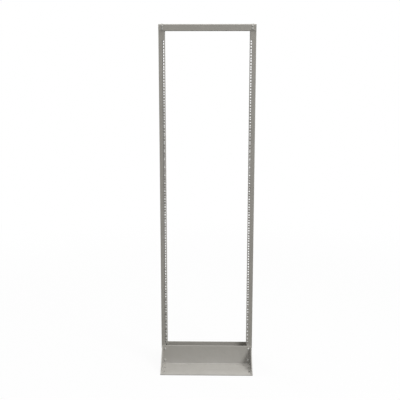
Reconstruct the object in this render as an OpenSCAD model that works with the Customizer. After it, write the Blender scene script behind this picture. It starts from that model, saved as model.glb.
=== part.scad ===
// Two-post open frame rack for 19 inch equipment.
// Two formed channel posts stand between a front and a rear base angle and are tied by two top angles.
// Millimetres, +Z up, front towards -Y, origin on the floor at the middle of the rack.

/* [Rack space] */
// Height of the panel space, in rack units
rack_units = 38; // [4:1:48]
// Clear width between the posts
rail_opening = 450.85; // [420:0.05:520]
// From a post's inner face to its line of rail holes
rail_hole_inset = 7.145; // [7:0.005:9]
// Width and height of a square rail hole, cut for cage nuts
rail_hole_w = 9.5; // [7:0.1:9.6]
// From the top of the base plate to the bottom of the panel space
base_gap = 0; // [0:0.1:30]
// From the top of the panel space to the top of the posts
head_room = 91; // [60:0.5:200]

/* [Posts] */
// Width of a post's flanges
post_flange = 31.75; // [28:0.05:50]
// Depth of a post from its front face to its rear face
post_depth = 57.15; // [50:0.05:100]
// Sheet thickness of the posts
post_sheet = 2; // [1.5:0.1:2.3]
// Inner radius of a post's bends
post_bend_r = 0.8; // [0.5:0.1:1.4]
// Thickness of the cap plate in the head of a post
cap_sheet = 3; // [2:0.1:6]

/* [Top angles] */
// Height of a top angle's upright leg
top_leg_h = 33.5; // [30:0.5:50]
// Depth of a top angle's level leg
top_leg_d = 28; // [22:0.5:28]
// Sheet thickness of the top angles
top_sheet = 3; // [2:0.1:4]
// Inner radius of a top angle's bend
top_bend_r = 1.5; // [0.5:0.1:3]
// Distance between the two screws in each end of an upright leg
top_screw_pitch = 14; // [10:0.5:16]
// Diameter of the holes for those screws
top_screw_d = 5.4; // [4:0.1:6.6]
// From a top angle's outer face back to its level-leg screws
top_bolt_inset = 16; // [12:0.5:18]
// Diameter of the holes for the level-leg screws
top_bolt_d = 5.4; // [4:0.1:9]

/* [Base angles] */
// Height of a base angle's upright leg
base_leg_h = 112.7; // [90:0.1:180]
// Length of a foot from the post's face
foot_l = 152.4; // [120:0.1:320]
// Plate thickness of the base angles
base_sheet = 4.8; // [3:0.1:8]
// Inner radius of a base angle's bend
base_bend_r = 4; // [1:0.1:8]
// How far each end of the base stays inside the posts' outer faces
base_end_inset = 2.1; // [0:0.1:5]
// Height of the lower bolts through the base and the posts
base_bolt_z = 27.5; // [22:0.5:32]
// From the top of a base angle's upright leg down to the upper bolts
base_bolt_drop = 18.2; // [16:0.1:24]
// Diameter of the holes for the base bolts
base_bolt_d = 6.8; // [5:0.1:10.5]
// From the post's face to the first floor anchor holes
anchor_reach = 58.5; // [40:0.5:70]
// Distance between the two anchor holes in each end of a foot
anchor_pitch = 50.8; // [30:0.1:80]
// Diameter of the floor anchor holes
anchor_d = 11; // [6:0.1:16]

/* [Gussets] */
// Thickness of a gusset
gusset_sheet = 4.8; // [3:0.1:6]
// From the top of the base's upright leg down to a gusset
gusset_drop = 6; // [0:0.5:20]
// Width of a gusset's flat top
gusset_top_w = 6; // [2:0.5:20]
// Height of a gusset's blunt tip
gusset_tip_h = 3; // [1:0.5:12]

/* [Fasteners] */
// From a post's inner face to its line of frame bolts
bolt_inset = 12.2; // [11:0.1:16]

/* [Hidden] */

// The 19 inch standard: one unit and the heights of its three holes
UNIT = 44.45;
HOLE_END = 6.35;
UNIT_HOLES = [HOLE_END, UNIT / 2, UNIT - HOLE_END];
EXACT = 32;
THROUGH = 1;
CORNER_RELIEF = 1;

inner_x = rail_opening / 2;
outer_x = inner_x + post_flange;
rail_hole_x = inner_x + rail_hole_inset;
bolt_x = inner_x + bolt_inset;
post_y = post_depth / 2;
panel_z = base_leg_h + base_gap;
panel_top_z = panel_z + rack_units * UNIT;
post_h = panel_top_z + head_room;
top_z = post_h + top_sheet;
top_y = post_y + top_sheet;
top_screw_z = top_z - top_leg_h / 2;
top_bolt_y = top_y - top_bolt_inset;
base_x = outer_x - base_end_inset;
foot_y = post_y + foot_l;
anchor_ys = [for (row = [0, 1]) post_y + anchor_reach + row * anchor_pitch];
base_bolt_zs = [base_bolt_z, base_leg_h - base_bolt_drop];
top_screw_zs = [for (side = [-1, 1]) top_screw_z + side * top_screw_pitch / 2];
rail_hole_zs = concat([panel_z - HOLE_END],
    [for (unit = [0 : rack_units - 1]) for (hole = UNIT_HOLES) panel_z + unit * UNIT + hole],
    [panel_top_z + HOLE_END]);

STEEL = [0.57, 0.56, 0.53];
STEEL_FOOT = [0.64, 0.63, 0.60];

// Rectangle with one corner on the origin, rounded there
module one_round_corner(size, r) {
    translate([r, 0]) square([size.x - r, size.y]);
    translate([0, r]) square([size.x, size.y - r]);
    translate([r, r]) circle(r, $fn = EXACT);
}

// Section of a bent angle: both legs leave the origin, with a round bend there
module angle_section(leg_a, leg_b, sheet, bend_r) {
    difference() {
        one_round_corner([leg_a, leg_b], bend_r + sheet);
        translate([sheet, sheet]) one_round_corner([leg_a, leg_b], bend_r);
    }
}

// Half of a channel section: web on the y axis, flange at the far end of it
module half_channel_section() {
    difference() {
        one_round_corner([post_flange, post_y + THROUGH], post_bend_r + post_sheet);
        translate([post_sheet, post_sheet]) one_round_corner([post_flange, post_depth], post_bend_r);
        translate([0, post_y]) square([post_flange, post_depth]);
    }
}

module channel_section() {
    translate([0, -post_y]) half_channel_section();
    translate([0, post_y]) mirror([0, 1]) half_channel_section();
}

// Round holes along Y at each place in a list of heights
module holes_along_y(x, heights, d, length) {
    for (z = heights) {
        translate([x, 0, z]) rotate([90, 0, 0]) cylinder(d = d, h = length, center = true, $fn = EXACT);
    }
}

// Square holes along Y at each place in a list of heights
module square_holes_along_y(x, heights, w, length) {
    for (z = heights) {
        translate([x, 0, z]) cube([w, length, w], center = true);
    }
}

module right_post_solid() {
    reach = top_y * 2 + THROUGH;
    difference() {
        translate([inner_x, 0, 0]) linear_extrude(post_h) channel_section();
        square_holes_along_y(rail_hole_x, rail_hole_zs, rail_hole_w, reach);
        holes_along_y(bolt_x, base_bolt_zs, base_bolt_d, reach);
        holes_along_y(bolt_x, top_screw_zs, top_screw_d, reach);
    }
}

// Plate welded inside the head of a post, level with its top
module right_cap_solid() {
    cap_w = post_flange - post_sheet;
    cap_half = post_y - post_sheet;
    corner_r = post_bend_r + CORNER_RELIEF;
    difference() {
        translate([inner_x + post_sheet, 0, post_h - cap_sheet]) linear_extrude(cap_sheet) {
            translate([0, -cap_half]) one_round_corner([cap_w, cap_half], corner_r);
            translate([0, cap_half]) mirror([0, 1]) one_round_corner([cap_w, cap_half], corner_r);
        }
        for (side = [-1, 1]) {
            translate([bolt_x, side * top_bolt_y, post_h - cap_sheet - THROUGH])
                cylinder(d = top_bolt_d, h = cap_sheet + 2 * THROUGH, $fn = EXACT);
        }
    }
}

// Rear top angle: one leg against the posts' rear faces, the other on top of them
module top_angle_solid() {
    difference() {
        translate([-outer_x, top_y, top_z]) rotate([90, 0, 90]) linear_extrude(2 * outer_x)
            rotate(180) angle_section(top_leg_d, top_leg_h, top_sheet, top_bend_r);
        for (side = [-1, 1]) {
            for (z = top_screw_zs) {
                translate([side * bolt_x, post_y + top_sheet / 2, z]) rotate([90, 0, 0])
                    cylinder(d = top_screw_d, h = top_sheet + THROUGH, center = true, $fn = EXACT);
            }
            translate([side * bolt_x, top_bolt_y, post_h - THROUGH])
                cylinder(d = top_bolt_d, h = top_sheet + 2 * THROUGH, $fn = EXACT);
        }
    }
}

// Rear base angle: upright leg against the posts' rear faces, foot on the floor
module base_angle_solid() {
    difference() {
        translate([-base_x, post_y, 0]) rotate([90, 0, 90]) linear_extrude(2 * base_x)
            angle_section(foot_l, base_leg_h, base_sheet, base_bend_r);
        for (side = [-1, 1]) {
            for (z = base_bolt_zs) {
                translate([side * bolt_x, post_y + base_sheet / 2, z]) rotate([90, 0, 0])
                    cylinder(d = base_bolt_d, h = base_sheet + THROUGH, center = true, $fn = EXACT);
            }
            for (y = anchor_ys) {
                translate([side * bolt_x, y, -THROUGH])
                    cylinder(d = anchor_d, h = base_sheet + 2 * THROUGH, $fn = EXACT);
            }
        }
    }
}

// Rear right gusset: a three-sided web welded in the end of the base angle, cut back at the bend
module gusset_solid() {
    back_y = post_y + base_sheet;
    relief = base_bend_r + CORNER_RELIEF;
    crest_z = base_leg_h - gusset_drop;
    translate([base_x - gusset_sheet, 0, 0]) rotate([90, 0, 90]) linear_extrude(gusset_sheet)
        polygon([
            [back_y, base_sheet + relief],
            [back_y + relief, base_sheet],
            [foot_y, base_sheet],
            [foot_y, base_sheet + gusset_tip_h],
            [back_y + gusset_top_w, crest_z],
            [back_y, crest_z]
        ]);
}

module left_post() { color(STEEL) mirror([1, 0, 0]) right_post_solid(); }

module right_post() { color(STEEL) right_post_solid(); }

module left_post_cap() { color(STEEL) mirror([1, 0, 0]) right_cap_solid(); }

module right_post_cap() { color(STEEL) right_cap_solid(); }

module top_front_angle() { color(STEEL) mirror([0, 1, 0]) top_angle_solid(); }

module top_rear_angle() { color(STEEL) top_angle_solid(); }

module base_front_angle() { color(STEEL_FOOT) mirror([0, 1, 0]) base_angle_solid(); }

module base_rear_angle() { color(STEEL_FOOT) base_angle_solid(); }

module front_left_gusset() { color(STEEL_FOOT) mirror([1, 0, 0]) mirror([0, 1, 0]) gusset_solid(); }

module front_right_gusset() { color(STEEL_FOOT) mirror([0, 1, 0]) gusset_solid(); }

module rear_left_gusset() { color(STEEL_FOOT) mirror([1, 0, 0]) gusset_solid(); }

module rear_right_gusset() { color(STEEL_FOOT) gusset_solid(); }

left_post();
right_post();
left_post_cap();
right_post_cap();
top_front_angle();
top_rear_angle();
base_front_angle();
base_rear_angle();
front_left_gusset();
front_right_gusset();
rear_left_gusset();
rear_right_gusset();
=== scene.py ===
"""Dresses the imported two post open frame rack: paint, screws, nuts, welds, light and camera."""
import logging
import math
from dataclasses import dataclass, field
from enum import Enum

import bpy
from mathutils import Euler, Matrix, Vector


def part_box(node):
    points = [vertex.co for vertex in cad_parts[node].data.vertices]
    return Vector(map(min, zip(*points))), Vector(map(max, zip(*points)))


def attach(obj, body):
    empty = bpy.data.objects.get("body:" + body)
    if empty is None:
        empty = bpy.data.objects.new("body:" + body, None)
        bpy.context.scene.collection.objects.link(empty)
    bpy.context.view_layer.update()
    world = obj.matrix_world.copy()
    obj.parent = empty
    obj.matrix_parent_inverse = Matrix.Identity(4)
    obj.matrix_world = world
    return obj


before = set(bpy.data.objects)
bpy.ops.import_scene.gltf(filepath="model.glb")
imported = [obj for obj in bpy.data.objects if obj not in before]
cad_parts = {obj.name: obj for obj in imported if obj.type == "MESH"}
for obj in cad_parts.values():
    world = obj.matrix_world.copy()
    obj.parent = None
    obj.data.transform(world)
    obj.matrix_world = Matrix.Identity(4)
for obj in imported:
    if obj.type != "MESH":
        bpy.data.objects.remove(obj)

LOG = logging.getLogger("rack")
MM = 0.001
CREASE_ANGLE = 40.0
Color = tuple[float, float, float, float]
Place = tuple[float, float, float]
Material = bpy.types.Material
Node = bpy.types.Node
Piece = bpy.types.Object
Socket = bpy.types.NodeSocket
Tree = bpy.types.NodeTree
WHITE: Color = (1.0, 1.0, 1.0, 1.0)
MIX_SHARE, MIX_FIRST, MIX_SECOND, MIX_COLOR = 0, 6, 7, 2
RANDOM_MAX, RANDOM_FLOAT = 3, 1


class Facing(Enum):
    """Which way a screw's head looks, as the turn that takes +Z there."""

    FRONT = (math.pi / 2, 0.0, 0.0)
    REAR = (-math.pi / 2, 0.0, 0.0)
    UP = (0.0, 0.0, 0.0)


class Side(Enum):
    """The front or the rear half of the rack, as the sign of its Y."""

    FRONT = -1
    REAR = 1

    @property
    def facing(self) -> Facing:
        """Which way this side's screw heads look."""
        return Facing[self.name]


class NodeSheet:
    """A node tree with short calls for adding and joining nodes."""

    def __init__(self, tree: Tree) -> None:
        """Keeps the tree.

        Args:
            tree: the shader or geometry tree that the calls add to.
        """
        self.tree = tree

    def add(self, kind: str, **settings: object) -> Node:
        """Adds a node.

        Args:
            kind: the node's type name.
            settings: properties of the node itself.

        Returns:
            The new node.
        """
        node = self.tree.nodes.new(kind)
        for key, value in settings.items():
            setattr(node, key, value)
        return node

    def join(self, source: Socket, target: Socket) -> None:
        """Links an output socket to an input socket."""
        self.tree.links.new(source, target)

    def feed(self, node: Node, key: str | int, value: object) -> None:
        """Sets an input to a value, or links a socket to it.

        Args:
            node: the node with the input.
            key: the input's name or index.
            value: a plain value, or the output socket to link.
        """
        if isinstance(value, Socket):
            self.join(value, node.inputs[key])
        else:
            node.inputs[key].default_value = value

    def math(self, operation: str, first: object, second: object = 0.0,
             third: object = 0.0, clamp: bool = False) -> Socket:
        """Adds a Math node.

        Args:
            operation: the node's operation.
            first: first value or socket.
            second: second value or socket.
            third: third value or socket, the one that MULTIPLY_ADD adds.
            clamp: holds the result between 0 and 1.

        Returns:
            The result socket.
        """
        node = self.add("ShaderNodeMath", operation=operation, use_clamp=clamp)
        for index, value in enumerate((first, second, third)):
            self.feed(node, index, value)
        return node.outputs[0]

    def ramp(self, value: Socket, low: float, high: float) -> Socket:
        """Stretches a value so that low becomes 0 and high becomes 1.

        Args:
            value: the socket to stretch.
            low: the value that becomes 0.
            high: the value that becomes 1.

        Returns:
            The stretched and clamped value.
        """
        node = self.add("ShaderNodeMapRange", interpolation_type="SMOOTHSTEP", clamp=True)
        self.feed(node, "Value", value)
        self.feed(node, "From Min", low)
        self.feed(node, "From Max", high)
        return node.outputs["Result"]

    def noise(self, place: Socket, scale: object, detail: float,
              roughness: float = 0.5) -> Socket:
        """Adds a noise texture.

        Args:
            place: the coordinates.
            scale: its scale, a value or a socket.
            detail: octaves.
            roughness: share of each finer octave.

        Returns:
            The noise value, around a half.
        """
        node = self.add("ShaderNodeTexNoise")
        self.feed(node, "Vector", place)
        self.feed(node, "Scale", scale)
        self.feed(node, "Detail", detail)
        self.feed(node, "Roughness", roughness)
        return node.outputs["Fac"]

    def split(self, vector: Socket) -> Node:
        """Takes a vector apart.

        Args:
            vector: the vector.

        Returns:
            The node whose outputs are X, Y and Z.
        """
        node = self.add("ShaderNodeSeparateXYZ")
        self.join(vector, node.inputs[0])
        return node

    def vector(self, x: object = 0.0, y: object = 0.0, z: object = 0.0) -> Socket:
        """Puts a vector together.

        Args:
            x: value or socket along X.
            y: value or socket along Y.
            z: value or socket along Z.

        Returns:
            The vector.
        """
        node = self.add("ShaderNodeCombineXYZ")
        for key, value in zip("XYZ", (x, y, z)):
            self.feed(node, key, value)
        return node.outputs[0]

    def rotation(self, angles: Socket) -> Socket:
        """Makes a rotation from a vector of angles.

        Args:
            angles: the turns about X, Y and Z.

        Returns:
            The rotation.
        """
        node = self.add("FunctionNodeEulerToRotation")
        self.join(angles, node.inputs[0])
        return node.outputs[0]


def new_socket(tree: Tree, name: str, kind: str, default: object = None,
               out: bool = False) -> str:
    """Adds an input or output to a node group.

    Args:
        tree: the group.
        name: the socket's name.
        kind: the socket's type name.
        default: its starting value, if it has one.
        out: makes it an output.

    Returns:
        The socket's identifier.
    """
    way = "OUTPUT" if out else "INPUT"
    socket = tree.interface.new_socket(name=name, in_out=way, socket_type=kind)
    if default is not None:
        socket.default_value = default
    return socket.identifier


@dataclass
class CoatEffects:
    """The shader groups that the finishes share, built once."""

    grain: Tree = field(init=False)
    rub: Tree = field(init=False)
    dust: Tree = field(init=False)
    edge: Tree = field(init=False)

    FLECK_HEIGHT = 0.35
    RUB_TURN = (0.3, 0.5, 0.2)
    RUB_STRETCH = (1.0, 1.0, 0.22)
    RUB_LEVEL = 0.78
    RUB_CONTRAST = 9.0
    PATCH_SCALE = 4.5
    FILM_SCALE = 26.0
    FILM_FLOOR = 0.5
    BEVEL_SAMPLES = 4

    def __post_init__(self) -> None:
        """Builds the groups."""
        self.grain = self._grain()
        self.rub = self._rub()
        self.dust = self._dust()
        self.edge = self._edge()

    def _group(self, name: str, inputs: dict[str, float],
               outputs: list[str]) -> tuple[NodeSheet, dict[str, Socket], Node]:
        """Starts a group that takes a place and plain numbers.

        Args:
            name: the group's name.
            inputs: names and starting values of its numbers.
            outputs: names of its values.

        Returns:
            The sheet, the input sockets by name, and the output node.
        """
        tree = bpy.data.node_groups.new(name, "ShaderNodeTree")
        new_socket(tree, "Place", "NodeSocketVector")
        for key, value in inputs.items():
            new_socket(tree, key, "NodeSocketFloat", value)
        for key in outputs:
            new_socket(tree, key, "NodeSocketFloat", out=True)
        sheet = NodeSheet(tree)
        entry = sheet.add("NodeGroupInput")
        leave = sheet.add("NodeGroupOutput")
        return sheet, {s.name: s for s in entry.outputs if s.name}, leave

    def _grain(self) -> Tree:
        """Builds the orange peel of baked paint and a soft mottle of its tone.

        Returns:
            The group, with a height, a fine mottle and a broad cloud.
        """
        sheet, given, leave = self._group(
            "paint_grain", {"Peel Scale": 420.0, "Fleck Scale": 1600.0, "Cloud Scale": 7.0},
            ["Height", "Mottle", "Cloud"])
        peel = sheet.noise(given["Place"], given["Peel Scale"], detail=2.0)
        fleck = sheet.noise(given["Place"], given["Fleck Scale"], detail=1.0)
        cloud = sheet.noise(given["Place"], given["Cloud Scale"], detail=4.0, roughness=0.55)
        height = sheet.math("MULTIPLY_ADD", fleck, self.FLECK_HEIGHT, peel)
        sheet.join(height, leave.inputs["Height"])
        sheet.join(sheet.ramp(fleck, low=0.3, high=0.7), leave.inputs["Mottle"])
        sheet.join(sheet.ramp(cloud, low=0.3, high=0.7), leave.inputs["Cloud"])
        return sheet.tree

    def _rub(self) -> Tree:
        """Builds faint rub marks from handling, longer than they are wide.

        Returns:
            The group, with the marks as a mask.
        """
        sheet, given, leave = self._group(
            "rub_marks", {"Mark Scale": 34.0, "Share": 0.12}, ["Mark"])
        stretch = sheet.add("ShaderNodeMapping")
        sheet.feed(stretch, "Vector", given["Place"])
        sheet.feed(stretch, "Rotation", self.RUB_TURN)
        sheet.feed(stretch, "Scale", self.RUB_STRETCH)
        marks = sheet.noise(
            stretch.outputs["Vector"], given["Mark Scale"], detail=6.0, roughness=0.62)
        patches = sheet.noise(given["Place"], self.PATCH_SCALE, detail=1.0)
        edge = sheet.math("SUBTRACT", self.RUB_LEVEL, given["Share"])
        over = sheet.math("SUBTRACT", marks, edge)
        sharp = sheet.math("MULTIPLY", over, self.RUB_CONTRAST, clamp=True)
        mark = sheet.math("MULTIPLY", sharp, sheet.ramp(patches, low=0.42, high=0.62))
        sheet.join(mark, leave.inputs["Mark"])
        return sheet.tree

    def _dust(self) -> Tree:
        """Builds the dust on faces that look up, and a film low on the upright ones that is dust
        and also painted bounce light, lighter towards the floor.

        Returns:
            The group, with the dust as a mask.
        """
        sheet, given, leave = self._group(
            "dust_and_painted_bounce", {"Reach": 0.35, "Amount": 0.5, "Film Reach": 0.1, "Film": 0.0},
            ["Dust"])
        normal = sheet.split(sheet.add("ShaderNodeTexCoord").outputs["Normal"])
        level = sheet.ramp(normal.outputs["Z"], low=0.55, high=0.95)
        upright = sheet.math("SUBTRACT", 1.0, level)
        height = sheet.split(given["Place"]).outputs["Z"]
        share: dict[str, Socket] = {}
        for key in ("Reach", "Film Reach"):
            rise = sheet.math("DIVIDE", height, given[key], clamp=True)
            share[key] = sheet.math("SUBTRACT", 1.0, rise)
        settled = sheet.math(
            "MULTIPLY", sheet.math("MULTIPLY", level, share["Reach"]), given["Amount"])
        # The film on upright faces near the floor is painted bounce light as well as dust.
        upright_film_and_bounce = sheet.math("MULTIPLY", upright, given["Film"])
        both = sheet.math("MULTIPLY_ADD", share["Film Reach"], upright_film_and_bounce, settled)
        film = sheet.noise(given["Place"], self.FILM_SCALE, detail=5.0, roughness=0.6)
        speck = sheet.math("ADD", sheet.ramp(film, low=0.15, high=0.95), self.FILM_FLOOR)
        sheet.join(sheet.math("MULTIPLY", both, speck, clamp=True), leave.inputs["Dust"])
        return sheet.tree

    def _edge(self) -> Tree:
        """Builds the paint worn thin along bends, cut edges and the rims of holes.

        Returns:
            The group, with the wear as a mask of broken runs.
        """
        sheet, given, leave = self._group(
            "edge_wear", {"Width": 0.0012, "Break Scale": 60.0, "Amount": 0.6}, ["Wear"])
        rounded = sheet.add("ShaderNodeBevel", samples=self.BEVEL_SAMPLES)
        sheet.join(given["Width"], rounded.inputs["Radius"])
        agree = sheet.add("ShaderNodeVectorMath", operation="DOT_PRODUCT")
        sheet.join(rounded.outputs["Normal"], agree.inputs[0])
        sheet.join(sheet.add("ShaderNodeNewGeometry").outputs["Normal"], agree.inputs[1])
        turn = sheet.math("SUBTRACT", 1.0, agree.outputs["Value"])
        rim = sheet.ramp(turn, low=0.02, high=0.25)
        broken = sheet.noise(given["Place"], given["Break Scale"], detail=5.0, roughness=0.65)
        runs = sheet.ramp(broken, low=0.4, high=0.62)
        worn = sheet.math("MULTIPLY", sheet.math("MULTIPLY", rim, runs), given["Amount"])
        sheet.join(worn, leave.inputs["Wear"])
        return sheet.tree


def place_of(sheet: NodeSheet) -> Socket:
    """The Object coordinates of the piece that wears the material."""
    return sheet.add("ShaderNodeTexCoord").outputs["Object"]


def rays_that_see(sheet: NodeSheet) -> Socket:
    """Tells the rays that show a thing from the rays that only carry light.

    Args:
        sheet: the material's or the world's sheet.

    Returns:
        1 for a ray from the camera, in gloss or through glass, and otherwise 0.
    """
    rays = sheet.add("ShaderNodeLightPath").outputs
    seen = sheet.math("MAXIMUM", rays["Is Camera Ray"], rays["Is Glossy Ray"])
    return sheet.math("MAXIMUM", seen, rays["Is Transmission Ray"])


def blend_color(sheet: NodeSheet, share: object, first: object, second: object) -> Socket:
    """Mixes two colours.

    Args:
        sheet: the material's sheet.
        share: how much of the second, a value or a socket.
        first: first colour or socket.
        second: second colour or socket.

    Returns:
        The mixed colour.
    """
    node = sheet.add("ShaderNodeMix", data_type="RGBA", clamp_factor=True)
    for key, value in ((MIX_SHARE, share), (MIX_FIRST, first), (MIX_SECOND, second)):
        sheet.feed(node, key, value)
    return node.outputs[MIX_COLOR]


def place_group(sheet: NodeSheet, tree: Tree, place: Socket, **values: float) -> Node:
    """Puts a shared group in a material.

    Args:
        sheet: the material's sheet.
        tree: the group.
        place: the coordinates that it works on.
        values: its inputs, with _ for a space.

    Returns:
        The group's node.
    """
    node = sheet.add("ShaderNodeGroup", node_tree=tree)
    sheet.feed(node, "Place", place)
    for key, value in values.items():
        sheet.feed(node, key.replace("_", " "), value)
    return node


def start_material(name: str) -> tuple[Material, NodeSheet, Node]:
    """Starts a material.

    Args:
        name: its name.

    Returns:
        The material, its sheet and its Principled BSDF.
    """
    material = bpy.data.materials.new(name)
    material.use_nodes = True
    tree = material.node_tree
    return material, NodeSheet(tree), tree.nodes["Principled BSDF"]


def raise_bumps(sheet: NodeSheet, body: Node, height: Socket, depth: float) -> None:
    """Turns a height into small bumps.

    Args:
        sheet: the material's sheet.
        body: the shader.
        height: the height, from 0 to 1.
        depth: how deep the bumps are, in metres.
    """
    bump = sheet.add("ShaderNodeBump")
    sheet.feed(bump, "Distance", depth)
    sheet.feed(bump, "Height", height)
    sheet.feed(body, "Normal", bump.outputs["Normal"])


@dataclass(frozen=True)
class BakedPaint:
    """Warm grey baked paint on sheet steel."""

    name: str
    paint: Color = (0.282, 0.270, 0.243, 1.0)
    pale: Color = (0.310, 0.297, 0.268, 1.0)
    rubbed: Color = (0.390, 0.378, 0.350, 1.0)
    dust_and_bounce_color: Color = (0.400, 0.390, 0.368, 1.0)
    mottle_share: float = 0.3
    cloud_share: float = 0.7
    roughness: float = 0.46
    cloud_dulls: float = 0.06
    specular: float = 0.4
    peel_scale: float = 420.0
    peel_depth: float = 0.00008
    rub_share: float = 0.10
    rub_pales: float = 0.35
    rub_polishes: float = 0.12
    dust_amount: float = 0.2
    dust_dulls: float = 0.3
    # Share of the film low on upright faces: dust, and painted bounce light from the floor and
    # the foot.
    low_film_and_painted_bounce: float = 0.1
    edge_amount: float = 0.5

    def build(self, effects: CoatEffects) -> Material:
        """Builds the material.

        Args:
            effects: the shared groups.

        Returns:
            The material.
        """
        material, sheet, body = start_material(self.name)
        place = place_of(sheet)
        grain = place_group(sheet, effects.grain, place, Peel_Scale=self.peel_scale).outputs
        mark = place_group(sheet, effects.rub, place, Share=self.rub_share).outputs["Mark"]
        dust = place_group(sheet, effects.dust, place, Amount=self.dust_amount,
                           Film=self.low_film_and_painted_bounce).outputs["Dust"]
        wear = place_group(sheet, effects.edge, place, Amount=self.edge_amount).outputs["Wear"]

        cloud = sheet.math("MULTIPLY", grain["Cloud"], self.cloud_share)
        tone = sheet.math("MULTIPLY_ADD", grain["Mottle"], self.mottle_share, cloud)
        color = blend_color(sheet, tone, self.paint, self.pale)
        paled = sheet.math("MULTIPLY", mark, self.rub_pales)
        color = blend_color(sheet, paled, color, self.rubbed)
        color = blend_color(sheet, wear, color, self.rubbed)
        # Mixes in the dust tone; on low upright faces this is also painted bounce light.
        sheet.feed(body, "Base Color", blend_color(sheet, dust, color, self.dust_and_bounce_color))

        rough = sheet.math("MULTIPLY_ADD", mark, -self.rub_polishes, self.roughness)
        rough = sheet.math("MULTIPLY_ADD", dust, self.dust_dulls, rough)
        rough = sheet.math("MULTIPLY_ADD", grain["Cloud"], self.cloud_dulls, rough)
        sheet.feed(body, "Roughness", rough)
        sheet.feed(body, "Specular IOR Level", self.specular)
        raise_bumps(sheet, body, grain["Height"], self.peel_depth)
        return material


@dataclass(frozen=True)
class ZincPlate:
    """Zinc on a screw or a nut, with fine scratches and a dull bloom."""

    name: str
    bright: Color = (0.62, 0.62, 0.60, 1.0)
    dull: Color = (0.50, 0.50, 0.48, 1.0)
    metallic: float = 0.35
    roughness: float = 0.34
    bloom_dulls: float = 0.18
    scratch_depth: float = 0.00002

    def build(self, effects: CoatEffects) -> Material:
        """Builds the material.

        Args:
            effects: the shared groups.

        Returns:
            The material.
        """
        material, sheet, body = start_material(self.name)
        place = place_of(sheet)
        grain = place_group(sheet, effects.grain, place, Peel_Scale=2400.0,
                            Fleck_Scale=5200.0, Cloud_Scale=160.0).outputs
        rub = place_group(sheet, effects.rub, place, Mark_Scale=900.0, Share=0.3)
        color = blend_color(sheet, grain["Cloud"], self.bright, self.dull)
        color = blend_color(sheet, rub.outputs["Mark"], color, self.bright)
        sheet.feed(body, "Base Color", color)
        sheet.feed(body, "Metallic", self.metallic)
        rough = sheet.math("MULTIPLY_ADD", grain["Cloud"], self.bloom_dulls, self.roughness)
        sheet.feed(body, "Roughness", rough)
        raise_bumps(sheet, body, grain["Height"], self.scratch_depth)
        return material


@dataclass(frozen=True)
class StudioPaper:
    """White paper under the rack: it shows as white, keeps the shadow and throws little back."""

    name: str = "studio_paper"
    paper: Color = (0.66, 0.66, 0.66, 1.0)
    thrown: Color = (0.20, 0.20, 0.20, 1.0)
    roughness: float = 0.9
    specular: float = 0.1
    whiteness: float = 0.92
    shadow_reach: float = 1.6
    even_reach: float = 4.0

    def build(self) -> Material:
        """Builds the material: the rays that see it find mostly even white.

        Returns:
            The material.
        """
        material, sheet, body = start_material(self.name)
        seen = rays_that_see(sheet)
        sheet.feed(body, "Base Color", blend_color(sheet, seen, self.thrown, self.paper))
        sheet.feed(body, "Roughness", self.roughness)
        sheet.feed(body, "Specular IOR Level", self.specular)
        even = sheet.add("ShaderNodeEmission")
        sheet.feed(even, "Color", WHITE)
        away = sheet.add("ShaderNodeVectorMath", operation="LENGTH")
        sheet.join(place_of(sheet), away.inputs[0])
        far = sheet.ramp(away.outputs["Value"], low=self.shadow_reach, high=self.even_reach)
        white = sheet.math("MULTIPLY_ADD", far, 1.0 - self.whiteness, self.whiteness)
        blend = sheet.add("ShaderNodeMixShader")
        sheet.feed(blend, 0, sheet.math("MULTIPLY", seen, white))
        sheet.join(body.outputs["BSDF"], blend.inputs[1])
        sheet.join(even.outputs["Emission"], blend.inputs[2])
        surface = sheet.tree.nodes["Material Output"].inputs["Surface"]
        sheet.join(blend.outputs["Shader"], surface)
        return material


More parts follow.
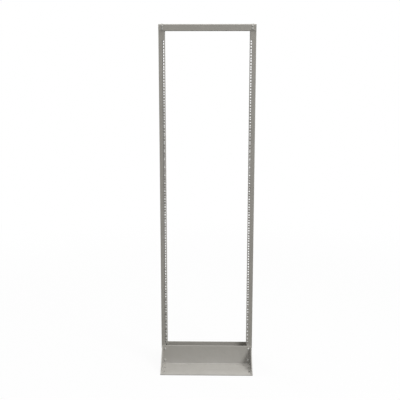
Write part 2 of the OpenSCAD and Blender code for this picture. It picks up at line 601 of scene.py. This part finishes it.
class Nodework:
    """Runs a Geometry Nodes tree on a set of points and keeps the plain mesh."""

    KINDS = {int: "NodeSocketInt", float: "NodeSocketFloat", tuple: "NodeSocketVector"}

    def __init__(self, name: str, numbers: dict[str, object]) -> None:
        """Starts the tree with a geometry input, the named inputs and a material.

        Args:
            name: name of the tree and of the piece.
            numbers: names and values of its inputs: a float, a whole number or a vector.
        """
        self.name = name
        self.tree = bpy.data.node_groups.new(name, "GeometryNodeTree")
        self.values: dict[str, object] = {}
        new_socket(self.tree, "Geometry", "NodeSocketGeometry")
        for key, value in numbers.items():
            identifier = new_socket(self.tree, key, self.KINDS[type(value)])
            self.values[identifier] = value
        self.finish = new_socket(self.tree, "Finish", "NodeSocketMaterial")
        new_socket(self.tree, "Geometry", "NodeSocketGeometry", out=True)
        self.sheet = NodeSheet(self.tree)
        entry = self.sheet.add("NodeGroupInput")
        self.given = {s.name: s for s in entry.outputs if s.name}
        self.leave = self.sheet.add("NodeGroupOutput")

    def end(self, geometry: Socket) -> None:
        """Ends the tree in Realize Instances and Set Material.

        Args:
            geometry: what the tree has made.
        """
        real = self.sheet.add("GeometryNodeRealizeInstances")
        painted = self.sheet.add("GeometryNodeSetMaterial")
        self.sheet.join(geometry, real.inputs["Geometry"])
        self.sheet.join(real.outputs["Geometry"], painted.inputs["Geometry"])
        self.sheet.join(self.given["Finish"], painted.inputs["Material"])
        self.sheet.join(painted.outputs["Geometry"], self.leave.inputs["Geometry"])

    def run(self, points: list[Place], edges: list[tuple[int, int]],
            material: Material) -> Piece:
        """Runs the tree and turns its result into a plain mesh piece.

        Args:
            points: the places, in metres.
            edges: pairs of points to join.
            material: the finish.

        Returns:
            The finished piece, with no modifier.
        """
        seed_mesh = bpy.data.meshes.new(self.name + "_places")
        seed_mesh.from_pydata(points, edges, [])
        carrier = bpy.data.objects.new(self.name + "_places", seed_mesh)
        bpy.context.scene.collection.objects.link(carrier)
        modifier = carrier.modifiers.new(self.name, "NODES")
        modifier.node_group = self.tree
        for identifier, value in self.values.items():
            modifier[identifier] = value
        modifier[self.finish] = material
        graph = bpy.context.evaluated_depsgraph_get()
        mesh = bpy.data.meshes.new_from_object(carrier.evaluated_get(graph), depsgraph=graph)
        carrier.modifiers.clear()
        bpy.data.objects.remove(carrier)
        mesh.name = self.name
        piece = bpy.data.objects.new(self.name, mesh)
        bpy.context.scene.collection.objects.link(piece)
        return piece


@dataclass
class ScrewSet:
    """Pan head screws with a cross recess, and the washers and nuts that hold them."""

    name: str
    facing: Facing
    grip: float
    head_radius: float = 5.0 * MM
    head_height: float = 2.9 * MM
    recess_length: float = 5.4 * MM
    recess_width: float = 1.3 * MM
    recess_depth: float = 1.7 * MM
    shank_radius: float = 2.6 * MM
    shank_tail: float = 7.2 * MM
    nut_radius: float = 5.3 * MM
    nut_height: float = 4.2 * MM
    washer_radius: float = 6.3 * MM
    washer_height: float = 1.0 * MM
    turn_seed: int = 3

    NUT_SIDES = 6
    ROUND_SIDES = 24
    HEAD_SIDES = 28
    ROD_RINGS = 6
    ROD_HALF = 0.5
    CROWN = 0.86
    CROWN_POWER = 4.0
    CHAMFER_START = 0.82
    CHAMFER_DRAW = 0.9

    def heads(self, places: list[Place], finish: Material) -> Piece:
        """Builds the heads.

        Args:
            places: the middle of each head's seat.
            finish: the plating.

        Returns:
            All heads of the set as one piece.
        """
        work = Nodework(self.name + "_heads", {
            "Head Radius": self.head_radius, "Head Height": self.head_height,
            "Recess": (self.recess_length, self.recess_width, self.recess_depth),
            "Facing": self.facing.value, "Turn Seed": self.turn_seed})
        cut = work.sheet.add("GeometryNodeMeshBoolean", operation="DIFFERENCE")
        work.sheet.join(self._domed_head(work), cut.inputs["Mesh 1"])
        work.sheet.join(self._cross(work), cut.inputs["Mesh 2"])
        work.end(self._on_points(work, cut.outputs["Mesh"]))
        return work.run(places, [], finish)

    def nuts(self, places: list[Place], finish: Material) -> Piece:
        """Builds the washers, the nuts on them and the screw ends that stand out.

        Args:
            places: the middle of each head's seat.
            finish: the plating.

        Returns:
            All nuts of the set as one piece.
        """
        work = Nodework(self.name + "_nuts", {
            "Nut Radius": self.nut_radius, "Nut Height": self.nut_height,
            "Shank Radius": self.shank_radius, "Shank Tail": self.shank_tail,
            "Washer Radius": self.washer_radius, "Washer Height": self.washer_height,
            "Grip": self.grip, "Facing": self.facing.value, "Turn Seed": self.turn_seed + 1})
        given, grip = work.given, work.given["Grip"]
        seat = work.sheet.math("ADD", grip, given["Washer Height"])
        stack = work.sheet.add("GeometryNodeJoinGeometry")
        for sides, radius, start, length in (
                (self.ROUND_SIDES, given["Shank Radius"], grip, given["Shank Tail"]),
                (self.NUT_SIDES, given["Nut Radius"], seat, given["Nut Height"]),
                (self.ROUND_SIDES, given["Washer Radius"], grip, given["Washer Height"])):
            work.sheet.join(self._prism(work, sides, radius, start, length), stack.inputs[0])
        work.end(self._on_points(work, stack.outputs[0]))
        return work.run(places, [], finish)

    def _rod(self, sheet: NodeSheet, sides: int, radius: Socket) -> tuple[Socket, Node]:
        """Makes a rod of length 1 around the origin, in rings.

        Args:
            sheet: the tree's sheet.
            sides: its number of sides.
            radius: its radius to the corners.

        Returns:
            The rod, and the node that gives each point's X, Y and Z.
        """
        rod = sheet.add("GeometryNodeMeshCylinder", fill_type="NGON")
        sheet.feed(rod, "Vertices", sides)
        sheet.feed(rod, "Side Segments", self.ROD_RINGS)
        sheet.feed(rod, "Radius", radius)
        sheet.feed(rod, "Depth", 2 * self.ROD_HALF)
        return rod.outputs["Mesh"], sheet.split(sheet.add("GeometryNodeInputPosition").outputs[0])

    def _reshape(self, sheet: NodeSheet, rod: Socket, parts: Node, width: Socket,
                 height: Socket) -> Socket:
        """Moves a rod's points.

        Args:
            sheet: the tree's sheet.
            rod: the rod.
            parts: each point's X, Y and Z.
            width: what X and Y are multiplied by.
            height: the new Z.

        Returns:
            The new mesh.
        """
        x, y = (sheet.math("MULTIPLY", parts.outputs[key], width) for key in "XY")
        moved = sheet.add("GeometryNodeSetPosition")
        sheet.join(rod, moved.inputs["Geometry"])
        sheet.join(sheet.vector(x, y, height), moved.inputs["Position"])
        return moved.outputs["Geometry"]

    def _domed_head(self, work: Nodework) -> Socket:
        """Makes a round head whose side draws in towards a flat crown.

        Args:
            work: the tree.

        Returns:
            The head's mesh.
        """
        sheet = work.sheet
        rod, parts = self._rod(sheet, self.HEAD_SIDES, work.given["Head Radius"])
        rise = sheet.math("ADD", parts.outputs["Z"], self.ROD_HALF)
        lean = sheet.math("MULTIPLY", rise, self.CROWN)
        bend = sheet.math("POWER", lean, self.CROWN_POWER)
        draw = sheet.math("SQRT", sheet.math("SUBTRACT", 1.0, bend))
        height = sheet.math("MULTIPLY", rise, work.given["Head Height"])
        return self._reshape(sheet, rod, parts, draw, height)

    def _cross(self, work: Nodework) -> Socket:
        """Makes the cross that is cut into the crown.

        Args:
            work: the tree.

        Returns:
            The cross's mesh.
        """
        sheet = work.sheet
        size = sheet.split(work.given["Recess"]).outputs
        bar = sheet.add("GeometryNodeMeshCube")
        deep = sheet.math("MULTIPLY", size["Z"], 2.0)
        sheet.join(sheet.vector(size["X"], size["Y"], deep), bar.inputs["Size"])
        lift = sheet.vector(z=work.given["Head Height"])
        both = sheet.add("GeometryNodeMeshBoolean", operation="UNION")
        for turn in (0.0, math.pi / 2):
            arm = sheet.add("GeometryNodeTransform")
            sheet.join(bar.outputs["Mesh"], arm.inputs["Geometry"])
            sheet.join(lift, arm.inputs["Translation"])
            sheet.feed(arm, "Rotation", (0.0, 0.0, turn))
            sheet.join(arm.outputs[0], both.inputs["Mesh 2"])
        return both.outputs["Mesh"]

    def _prism(self, work: Nodework, sides: int, radius: Socket, start: Socket,
               length: Socket) -> Socket:
        """Makes a prism that runs away from the head, with a chamfered end.

        Args:
            work: the tree.
            sides: its number of sides.
            radius: its radius to the corners.
            start: its distance behind the head's seat.
            length: its length.

        Returns:
            The prism's mesh.
        """
        sheet = work.sheet
        rod, parts = self._rod(sheet, sides, radius)
        deep = sheet.math("SUBTRACT", self.ROD_HALF, parts.outputs["Z"])
        past = sheet.math("SUBTRACT", deep, self.CHAMFER_START, clamp=True)
        taper = sheet.math("SUBTRACT", 1.0, sheet.math("MULTIPLY", past, self.CHAMFER_DRAW))
        down = sheet.math("MULTIPLY_ADD", deep, length, start)
        return self._reshape(sheet, rod, parts, taper, sheet.math("MULTIPLY", down, -1.0))

    def _on_points(self, work: Nodework, shape: Socket) -> Socket:
        """Sets the shape on each point, facing its way, with its own turn about its axis.

        Args:
            work: the tree.
            shape: the mesh to repeat.

        Returns:
            The instances.
        """
        sheet = work.sheet
        spread = sheet.add("GeometryNodeInstanceOnPoints")
        sheet.join(work.given["Geometry"], spread.inputs["Points"])
        sheet.join(shape, spread.inputs["Instance"])
        sheet.join(sheet.rotation(work.given["Facing"]), spread.inputs["Rotation"])
        turn = sheet.add("FunctionNodeRandomValue", data_type="FLOAT")
        sheet.feed(turn, RANDOM_MAX, math.tau)
        sheet.join(work.given["Turn Seed"], turn.inputs["Seed"])
        turned = sheet.add("GeometryNodeRotateInstances")
        sheet.join(spread.outputs[0], turned.inputs["Instances"])
        spin = sheet.rotation(sheet.vector(z=turn.outputs[RANDOM_FLOAT]))
        sheet.join(spin, turned.inputs["Rotation"])
        return turned.outputs[0]


@dataclass
class Rack:
    """The frame's own places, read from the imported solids."""

    bolt_inset: float = 12.2 * MM
    sheet: float = 2.0 * MM
    inner_x: float = field(init=False)
    post_y: float = field(init=False)

    def __post_init__(self) -> None:
        """Reads the right post's box."""
        low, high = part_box("right_post")
        self.inner_x = low.x
        self.post_y = high.y

    @property
    def bolt_xs(self) -> tuple[float, float]:
        """Where the frame's screws stand along X, left and right."""
        reach = self.inner_x + self.bolt_inset
        return -reach, reach

    def dress(self, nodes: list[str], material: Material) -> None:
        """Gives solids their finish.

        Args:
            nodes: names of the solids.
            material: the finish.
        """
        for name in nodes:
            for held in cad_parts[name].material_slots:
                held.material = material
            LOG.info("%s: %s", name, material.name)


@dataclass
class Posts:
    """The two punched posts and the plates in their heads."""

    rack: Rack

    def dress(self, paint: Material) -> None:
        """Paints the posts and their caps."""
        self.rack.dress(["left_post", "right_post", "left_post_cap", "right_post_cap"], paint)


@dataclass
class TopAngles:
    """The two angles across the posts' heads and their screws."""

    rack: Rack
    screw_pitch: float = 14.0 * MM
    level_inset: float = 16.0 * MM
    sheet: float = 3.0 * MM

    def dress(self, paint: Material) -> None:
        """Paints the angles."""
        self.rack.dress(["top_front_angle", "top_rear_angle"], paint)

    def fasteners(self, zinc: Material) -> list[Piece]:
        """Builds the screws of both angles.

        Args:
            zinc: the plating.

        Returns:
            The new pieces.
        """
        low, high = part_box("top_rear_angle")
        middle = (low.z + high.z) / 2
        made = []
        for side in Side:
            places = [(x, side.value * high.y, middle + step * self.screw_pitch / 2)
                      for x in self.rack.bolt_xs for step in (-1, 1)]
            screws = ScrewSet(
                f"top_{side.name.lower()}", side.facing, self.sheet + self.rack.sheet)
            made += [screws.heads(places, zinc), screws.nuts(places, zinc)]
        level = high.y - self.level_inset
        places = [(x, y, high.z) for x in self.rack.bolt_xs for y in (-level, level)]
        screws = ScrewSet(
            "top_level", Facing.UP, self.sheet * 2, head_radius=6.2 * MM, turn_seed=11)
        return made + [screws.heads(places, zinc), screws.nuts(places, zinc)]


@dataclass
class Base:
    """The two base angles with their gussets, screws and welds."""

    rack: Rack
    lower_z: float = 27.5 * MM
    upper_drop: float = 18.2 * MM
    sheet: float = 4.8 * MM
    bead: float = 2.0 * MM
    bead_sides: int = 10
    bead_step: float = 0.7 * MM
    ripple: float = 0.22 * MM
    ripple_pitch: float = 1.9 * MM
    weld_relief: float = 5.0 * MM
    toe_relief: float = 3.0 * MM

    GUSSETS = ("front_left", "front_right", "rear_left", "rear_right")

    def dress(self, paint: Material) -> None:
        """Paints the angles and the gussets."""
        names = [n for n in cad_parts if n.startswith("base_") or n.endswith("_gusset")]
        self.rack.dress(names, paint)

    def fasteners(self, zinc: Material) -> list[Piece]:
        """Builds the screws that hold the angles to the posts.

        Args:
            zinc: the plating.

        Returns:
            The new pieces.
        """
        upper_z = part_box("base_rear_angle")[1].z - self.upper_drop
        made = []
        for side in Side:
            seat = side.value * (self.rack.post_y + self.sheet)
            places = [(x, seat, z) for x in self.rack.bolt_xs for z in (self.lower_z, upper_z)]
            screws = ScrewSet(
                f"base_{side.name.lower()}", side.facing, self.sheet + self.rack.sheet,
                head_radius=5.9 * MM, head_height=3.5 * MM, recess_length=6.2 * MM,
                shank_radius=3.0 * MM, shank_tail=8.4 * MM, nut_radius=5.8 * MM,
                nut_height=5.0 * MM, washer_radius=7.2 * MM, turn_seed=21)
            made += [screws.heads(places, zinc), screws.nuts(places, zinc)]
        return made

    def _weld_ends(self) -> list[Place]:
        """Works out each bead's two ends: one bead up the gusset's rear, one along its foot.

        Returns:
            The ends, two for each bead.
        """
        ends: list[Place] = []
        for name in self.GUSSETS:
            low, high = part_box(name + "_gusset")
            inner = low.x if high.x > 0 else high.x
            near, far = (low.y, high.y) if high.y > 0 else (high.y, low.y)
            way = math.copysign(1.0, far - near)
            ends += [(inner, near, high.z - self.bead),
                     (inner, near, low.z + self.weld_relief),
                     (inner, near + way * self.weld_relief, low.z),
                     (inner, far - way * self.toe_relief, low.z)]
        return ends

    def welds(self, paint: Material) -> Piece:
        """Lays a painted weld bead in each gusset's inner corners.

        Args:
            paint: the paint over the beads.

        Returns:
            The beads as one piece.
        """
        work = Nodework("gusset_welds", {
            "Bead Radius": self.bead, "Ripple": self.ripple, "Ripple Pitch": self.ripple_pitch})
        sheet, given = work.sheet, work.given
        path = sheet.add("GeometryNodeMeshToCurve")
        sheet.join(given["Geometry"], path.inputs["Mesh"])
        fine = sheet.add("GeometryNodeResampleCurve", mode="LENGTH")
        sheet.join(path.outputs[0], fine.inputs["Curve"])
        sheet.feed(fine, "Length", self.bead_step)
        along = sheet.add("GeometryNodeSplineParameter").outputs["Length"]
        ripples = sheet.math("DIVIDE", along, given["Ripple Pitch"])
        wave = sheet.math("SINE", sheet.math("MULTIPLY", ripples, math.tau))
        width = sheet.math("MULTIPLY_ADD", wave, given["Ripple"], given["Bead Radius"])
        ring = sheet.add("GeometryNodeCurvePrimitiveCircle", mode="RADIUS")
        sheet.feed(ring, "Resolution", self.bead_sides)
        sheet.feed(ring, "Radius", 1.0)
        tube = sheet.add("GeometryNodeCurveToMesh")
        sheet.join(fine.outputs[0], tube.inputs["Curve"])
        sheet.join(width, tube.inputs["Scale"])
        sheet.join(ring.outputs[0], tube.inputs["Profile Curve"])
        sheet.feed(tube, "Fill Caps", True)
        work.end(tube.outputs[0])
        ends = self._weld_ends()
        return work.run(ends, [(n, n + 1) for n in range(0, len(ends), 2)], paint)


@dataclass(frozen=True)
class Lamp:
    """A square lamp of the studio."""

    name: str
    place: Place
    target: Place
    size: float
    power: float

    def hang(self) -> None:
        """Hangs the lamp and turns it to its target."""
        light = bpy.data.lights.new(self.name, "AREA")
        light.shape = "SQUARE"
        light.size = self.size
        light.energy = self.power
        lamp = bpy.data.objects.new(self.name, light)
        lamp.location = self.place
        aim = Vector(self.target) - Vector(self.place)
        lamp.rotation_euler = aim.to_track_quat("-Z", "Y").to_euler()
        bpy.context.scene.collection.objects.link(lamp)


@dataclass
class Studio:
    """The floor, the lamps and the camera."""

    floor_half: float = 14.0
    sky: float = 0.40
    eye: Place = (0.0342, -3.8807, 1.6985)
    pitch: float = 10.8815
    yaw: float = 1.0787
    lens: float = 64.417
    sensor: float = 36.0
    far_clip: float = 100.0

    LAMPS = (
        Lamp("key_lamp", (5.25, -5.85, 5.65), (0.0, 0.0, 0.7), size=3.3, power=520.0),
        Lamp("top_lamp", (0.4, -0.4, 6.5), (0.0, 0.0, 0.0), size=3.0, power=215.0),
        Lamp("back_lamp", (-5.0, 5.6, 5.0), (0.0, 0.0, 0.7), size=3.3, power=260.0))

    def floor(self) -> None:
        """Lays the white floor."""
        h = self.floor_half
        mesh = bpy.data.meshes.new("studio_floor")
        mesh.from_pydata([(-h, -h, 0), (h, -h, 0), (h, h, 0), (-h, h, 0)], [], [(0, 1, 2, 3)])
        mesh.materials.append(StudioPaper().build())
        floor = bpy.data.objects.new("studio_floor", mesh)
        bpy.context.scene.collection.objects.link(floor)

    def sky_light(self) -> None:
        """Lights the room evenly; the rays that see it see white."""
        world = bpy.data.worlds.new("studio_sky")
        world.use_nodes = True
        bpy.context.scene.world = world
        sheet = NodeSheet(world.node_tree)
        back = world.node_tree.nodes["Background"]
        strength = sheet.math("MULTIPLY_ADD", rays_that_see(sheet), 1.0 - self.sky, self.sky)
        sheet.feed(back, "Color", WHITE)
        sheet.feed(back, "Strength", strength)

    def camera(self) -> None:
        """Sets the camera in front of the rack, at the eye level of someone who stands."""
        lens = bpy.data.cameras.new("camera")
        lens.sensor_width = self.sensor
        lens.lens = self.lens
        lens.clip_end = self.far_clip
        camera = bpy.data.objects.new("camera", lens)
        camera.location = self.eye
        turn = (math.radians(90.0 - self.pitch), 0.0, math.radians(self.yaw))
        camera.rotation_euler = Euler(turn)
        bpy.context.scene.collection.objects.link(camera)
        bpy.context.scene.camera = camera

    def build(self) -> None:
        """Builds the whole studio."""
        bpy.context.scene.view_settings.view_transform = "Standard"
        self.camera()
        self.floor()
        self.sky_light()
        for lamp in self.LAMPS:
            lamp.hang()


def shade_smooth(piece: Piece, crease: float) -> None:
    """Smooths a piece's shading, except over its sharp edges.

    Args:
        piece: the piece.
        crease: the angle past which an edge stays sharp, in degrees.
    """
    for face in piece.data.polygons:
        face.use_smooth = True
    piece.data.set_sharp_from_angle(angle=math.radians(crease))


def main() -> None:
    """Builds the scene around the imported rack."""
    logging.basicConfig(level=logging.INFO, format="%(name)s: %(message)s")
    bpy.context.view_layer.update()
    effects = CoatEffects()
    paint = BakedPaint("frame_paint").build(effects)
    # The base, welds included, wears the frame's paint made about a fifth lighter: painted light
    # for the brighter light that falls on the base, not a different paint.
    base_paint = BakedPaint(
        "base_paint", paint=(0.350, 0.337, 0.308, 1.0), pale=(0.384, 0.370, 0.340, 1.0),
        rubbed=(0.44, 0.43, 0.40, 1.0), dust_and_bounce_color=(0.44, 0.43, 0.41, 1.0), peel_scale=360.0,
        rub_share=0.14, dust_amount=0.25, low_film_and_painted_bounce=0.65, edge_amount=0.8).build(effects)
    zinc = ZincPlate("screw_zinc").build(effects)
    # A darker copy of the screws' zinc for the top screws: painted shade that dims their gloss,
    # not a different plating.
    painted_shade_zinc = ZincPlate(
        "painted_shade_zinc", bright=(0.42, 0.42, 0.40, 1.0), dull=(0.34, 0.34, 0.32, 1.0)).build(effects)

    rack = Rack()
    posts, tops, base = Posts(rack), TopAngles(rack), Base(rack)
    posts.dress(paint)
    tops.dress(paint)
    base.dress(base_paint)
    small = tops.fasteners(painted_shade_zinc) + base.fasteners(zinc)
    welds = base.welds(base_paint)
    for piece in small + [welds]:
        shade_smooth(piece, CREASE_ANGLE)
        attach(piece, "root")
        LOG.info("%s: %d faces", piece.name, len(piece.data.polygons))

    Studio().build()


if __name__ == "__main__":
    main()
